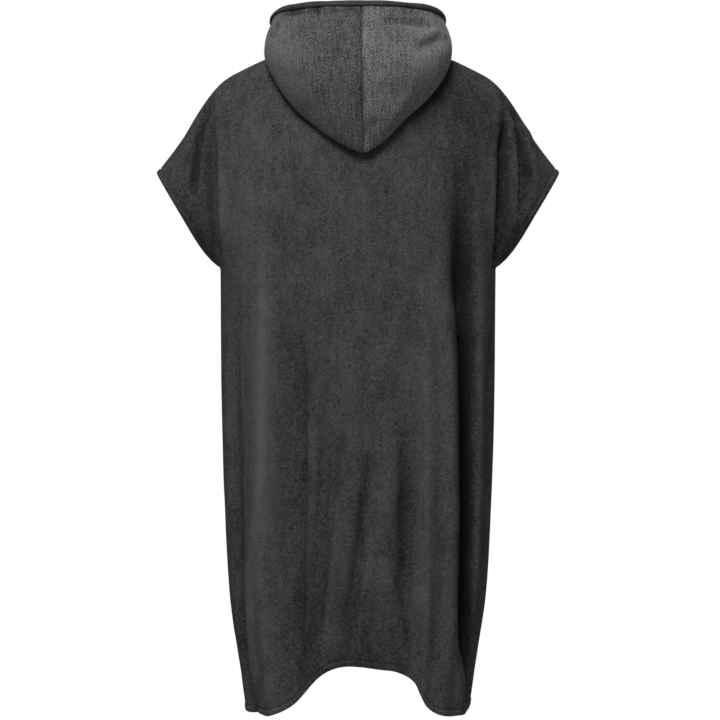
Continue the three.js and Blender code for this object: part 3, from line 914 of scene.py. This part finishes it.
def roll_sizes(place):
    """Share of the roll's full size at each step: uneven as soft cloth rolls, rounded at both ends."""
    draw = random.Random(SEED)
    size = np.ones(len(place))
    for _ in range(ROLL_WAVES):
        size += ROLL_UNEVENNESS * np.sin(place / draw.uniform(*ROLL_WAVE) + draw.uniform(0, 2 * math.pi))
    from_end = np.clip(np.minimum(place, place[-1] - place) / ROLL_END, 0, 1)
    return size * np.maximum(np.sqrt(1 - (1 - from_end) ** 2), ROLL_END_LEAST)


def squared(value):
    """A sine or cosine drawn out towards 1 and -1, which squares a round section a little."""
    return math.copysign(abs(value) ** ROLL_SQUARENESS, value)


def make_hem_roll(left_rim, right_rim):
    """The rolled hem along the whole face edge."""
    place, edge, up, out = roll_frames(left_rim, right_rim)
    size = roll_sizes(place)
    centre = edge + up * (ROLL_HEIGHT / 2 - ROLL_SINK) + out * ROLL_OUT
    lines = []
    for side in range(ROLL_SIDES):
        turn = 2 * math.pi * side / ROLL_SIDES
        high = squared(math.sin(turn)) * ROLL_HEIGHT / 2
        wide = squared(math.cos(turn)) * ROLL_WIDTH / 2
        lines.append(centre + (up * high + out * wide) * size[:, None])
    points = np.array(lines).transpose(1, 0, 2).reshape(-1, 3)
    return add_mesh("hood_roll", points, tube_faces(0, len(place), ROLL_SIDES))


class Value:
    """A shader socket that takes part in arithmetic by adding Math nodes."""

    def __init__(self, tree, socket):
        self.tree = tree
        self.socket = socket

    def _math(self, operation, first, second):
        node = self.tree.nodes.new("ShaderNodeMath")
        node.operation = operation
        for index, term in enumerate((first, second)):
            if isinstance(term, Value):
                self.tree.links.new(term.socket, node.inputs[index])
            else:
                node.inputs[index].default_value = term
        return Value(self.tree, node.outputs[0])

    def __add__(self, other):
        return self._math("ADD", self, other)

    def __radd__(self, other):
        return self._math("ADD", other, self)

    def __sub__(self, other):
        return self._math("SUBTRACT", self, other)

    def __rsub__(self, other):
        return self._math("SUBTRACT", other, self)

    def __mul__(self, other):
        return self._math("MULTIPLY", self, other)

    def __rmul__(self, other):
        return self._math("MULTIPLY", other, self)


class Cloth:
    """A cloth material under construction: its node tree and the shader at its end."""

    def __init__(self, name):
        self.material = bpy.data.materials.new(name)
        self.material.use_nodes = True
        self.tree = self.material.node_tree
        self.shader = self.tree.nodes["Principled BSDF"]

    def node(self, kind, settings=(), sockets=(), output=0):
        node = self.tree.nodes.new(kind)
        for key, setting in dict(settings).items():
            setattr(node, key, setting)
        for key, given in dict(sockets).items():
            self.feed(node.inputs[key], given)
        return Value(self.tree, node.outputs[output])

    def feed(self, socket, given):
        if isinstance(given, Value):
            self.tree.links.new(given.socket, socket)
        else:
            socket.default_value = given

    def noise(self, place, scale, detail=2.0, rough=0.5):
        sockets = {"Vector": place, "Scale": scale, "Detail": detail, "Roughness": rough}
        return self.node("ShaderNodeTexNoise", {}, sockets)

    def stretched(self, place, scale):
        return self.node("ShaderNodeMapping", {}, {"Vector": place, "Scale": scale})

    def painted_shading(self):
        """Painted light and shade of the pile, from -1, painted shade in a trough, to 1, painted light on a
        crest.
        """
        return self.node("ShaderNodeAttribute", {"attribute_name": "painted_shading"}, output=2)

    def steps(self, value, low, high):
        sockets = {"Value": value, "From Min": low, "From Max": high}
        return self.node("ShaderNodeMapRange", {"clamp": True}, sockets)

    def blend(self, share, first, second):
        node = self.tree.nodes.new("ShaderNodeMix")
        node.data_type = "RGBA"
        self.feed(node.inputs[0], share)
        self.feed(node.inputs[6], first)
        self.feed(node.inputs[7], second)
        return Value(self.tree, node.outputs[2])

    def finish(self, colour, roughness, height, distance, sheen):
        self.feed(self.shader.inputs["Base Color"], colour)
        self.feed(self.shader.inputs["Roughness"], roughness)
        self.shader.inputs["Specular IOR Level"].default_value = CLOTH_SHINE
        self.shader.inputs["Sheen Weight"].default_value = sheen
        self.shader.inputs["Sheen Roughness"].default_value = 0.5
        sockets = {"Height": height, "Strength": 1.0, "Distance": distance}
        bump = self.node("ShaderNodeBump", {}, sockets)
        self.tree.links.new(bump.socket, self.shader.inputs["Normal"])
        return self.material


def grey(value):
    return (value, value, value, 1.0)


def added_up(layers):
    """Half, plus what each layer of noise adds above or below its own half."""
    share = 0.5
    for layer, weight in layers:
        share = share + (layer - 0.5) * weight
    return share


def velour(name, tone):
    """Short cut pile: fine grain, brushed patches and soft upright streaks of the nap."""
    cloth = Cloth(name)
    place = cloth.node("ShaderNodeTexCoord", output=3)
    upright = cloth.stretched(place, (1, 1, 0.3))
    brushed = cloth.stretched(place, (1, 1, 0.5))
    grain = cloth.steps(cloth.noise(place, scale=430, detail=2, rough=0.6), 0.34, 0.66)
    clumps = cloth.steps(cloth.noise(place, scale=170, detail=2, rough=0.5), 0.34, 0.66)
    streaks = cloth.steps(cloth.noise(upright, scale=80, detail=3, rough=0.55), 0.34, 0.66)
    patches = cloth.steps(cloth.noise(brushed, scale=26, detail=3, rough=0.55), 0.34, 0.66)
    share = added_up([(grain, 0.62), (clumps, 0.24), (streaks, 0.2), (patches, 0.2)])
    # Painted light on crests and painted shade in troughs and patches
    share = share + cloth.painted_shading() * VELOUR_PAINTED_SHADING
    colour = cloth.blend(share, grey(tone * (1 - VELOUR_CONTRAST)), grey(tone * (1 + VELOUR_CONTRAST)))
    height = grain * 0.6 + clumps * 0.6 + streaks * 0.7
    return cloth.finish(colour, 0.9 + patches * 0.08, height, VELOUR_BUMP, 0.0)


def heather(name, tone):
    """Looped face in two greys: fine streaks along the cloth and a small grain of loops."""
    cloth = Cloth(name)
    along = cloth.node("ShaderNodeTexCoord", output=2)
    place = cloth.node("ShaderNodeTexCoord", output=3)
    loop_size = cloth.stretched(along, (520, 370, 1))
    rib_size = cloth.stretched(along, (310, 22, 1))
    streak_size = cloth.stretched(along, (150, 50, 1))
    loops = cloth.steps(cloth.noise(loop_size, scale=1, detail=2, rough=0.8), 0.38, 0.62)
    ribs = cloth.steps(cloth.noise(rib_size, scale=1, detail=2, rough=0.5), 0.36, 0.64)
    streaks = cloth.steps(cloth.noise(streak_size, scale=1, detail=3, rough=0.6), 0.34, 0.66)
    patches = cloth.steps(cloth.noise(place, scale=40, detail=3, rough=0.6), 0.34, 0.66)
    share = added_up([(loops, 1.3), (ribs, 0.34), (streaks, 0.3), (patches, 0.24)])
    # Painted light on crests and painted shade in troughs and patches
    share = share + cloth.painted_shading() * HEATHER_PAINTED_SHADING
    colour = cloth.blend(share, grey(tone * (1 - HEATHER_CONTRAST)), grey(tone * (1 + HEATHER_CONTRAST)))
    height = loops * 0.9 + ribs * 0.4 + streaks * 0.3
    return cloth.finish(colour, 0.93 + loops * 0.05, height, HEATHER_BUMP, HEATHER_SHEEN)


def thread(name, tone):
    """Twisted sewing thread."""
    cloth = Cloth(name)
    place = cloth.node("ShaderNodeTexCoord", output=3)
    twist = cloth.noise(place, scale=1600, detail=1, rough=0.5)
    colour = cloth.blend(twist, grey(tone * (1 - THREAD_CONTRAST)), grey(tone * (1 + THREAD_CONTRAST)))
    return cloth.finish(colour, 0.7 + twist * 0.1, twist, THREAD_BUMP, THREAD_SHEEN)


def dress(piece, material):
    piece.data.materials.clear()
    piece.data.materials.append(material)
    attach(piece, "root")


def make_garment():
    back, back_stitches = make_panel("back_cloth", BACK, BACK_SPACING, SEED + 1)
    front, front_stitches = make_panel("front_cloth", FRONT, FRONT_SPACING, SEED + 2)
    left, left_rim = make_hood_half("hood_left_cloth", LEFT, SEED + 3)
    right, right_rim = make_hood_half("hood_right_cloth", RIGHT, SEED + 4)
    roll = make_hem_roll(left_rim, right_rim)

    body_velour = velour("charcoal_velour", BODY_TONE)
    roll_velour = velour("rolled_velour", ROLL_TONE)
    # Lit and shaded copies of one heather: painted light on the right half, painted shade on the left
    left_heather = heather("grey_heather_left", HEATHER_LEFT_TONE)
    right_heather = heather("grey_heather_right", HEATHER_RIGHT_TONE)
    sewing = thread("charcoal_thread", THREAD_TONE)

    dress(back, body_velour)
    dress(front, body_velour)
    dress(left, left_heather)
    dress(right, right_heather)
    dress(roll, roll_velour)
    for stitches in back_stitches:
        dress(stitches, sewing)
    for stitches in front_stitches:
        dress(stitches, sewing)

    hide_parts("back_panel")
    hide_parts("front_panel")
    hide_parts("hood_left")
    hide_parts("hood_right")
    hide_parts("hood_hem")


def make_stage():
    bpy.ops.object.select_all(action="DESELECT")
    place = (0, 0, FLOOR_Z)
    bpy.ops.mesh.primitive_circle_add(radius=FLOOR_RADIUS, vertices=96, fill_type="NGON", location=place)
    floor = bpy.context.object
    floor.name = "studio_floor"
    pale = bpy.data.materials.new("pale_floor")
    pale.use_nodes = True
    shader = pale.node_tree.nodes["Principled BSDF"]
    shader.inputs["Base Color"].default_value = grey(FLOOR_TONE)
    shader.inputs["Roughness"].default_value = 0.9
    floor.data.materials.append(pale)


def make_world():
    """White for the camera, and a dimmer even light for the cloth."""
    world = bpy.data.worlds.new("studio")
    world.use_nodes = True
    tree = world.node_tree
    seen = tree.nodes["Background"]
    seen.inputs["Color"].default_value = grey(1.0)
    lighting = tree.nodes.new("ShaderNodeBackground")
    lighting.inputs["Color"].default_value = grey(1.0)
    lighting.inputs["Strength"].default_value = EVEN_LIGHT
    rays = tree.nodes.new("ShaderNodeLightPath")
    choice = tree.nodes.new("ShaderNodeMixShader")
    tree.links.new(rays.outputs["Is Camera Ray"], choice.inputs[0])
    tree.links.new(lighting.outputs[0], choice.inputs[1])
    tree.links.new(seen.outputs[0], choice.inputs[2])
    tree.links.new(choice.outputs[0], tree.nodes["World Output"].inputs["Surface"])
    bpy.context.scene.world = world


def add_light(name, place, aim, size, power):
    light = bpy.data.lights.new(name, "AREA")
    light.shape = "DISK"
    light.size = size
    light.energy = power
    lamp = bpy.data.objects.new(name, light)
    bpy.context.scene.collection.objects.link(lamp)
    lamp.location = place
    lamp.rotation_mode = "QUATERNION"
    lamp.rotation_quaternion = (Vector(aim) - Vector(place)).to_track_quat("-Z", "Y")


def make_lights_and_camera():
    add_light("key_from_above", place=(0.65, 2.7, 2.9), aim=(0, 0, -0.35), size=1.8, power=300)
    add_light("fill_from_front", place=(-1.5, -3.2, 0.8), aim=(0, 0, -0.5), size=2.4, power=60)
    camera_data = bpy.data.cameras.new("camera")
    camera = bpy.data.objects.new("camera", camera_data)
    bpy.context.scene.collection.objects.link(camera)
    camera_data.sensor_width = SENSOR_WIDTH
    camera_data.lens = SENSOR_WIDTH * CAMERA_DISTANCE / VIEW_WIDTH
    camera.location = (CAMERA_X, CAMERA_DISTANCE, CAMERA_Z)
    camera.rotation_euler = (math.pi / 2, 0, math.pi)
    bpy.context.scene.camera = camera
    bpy.context.scene.view_settings.view_transform = "Standard"


make_garment()
make_stage()
make_world()
make_lights_and_camera()
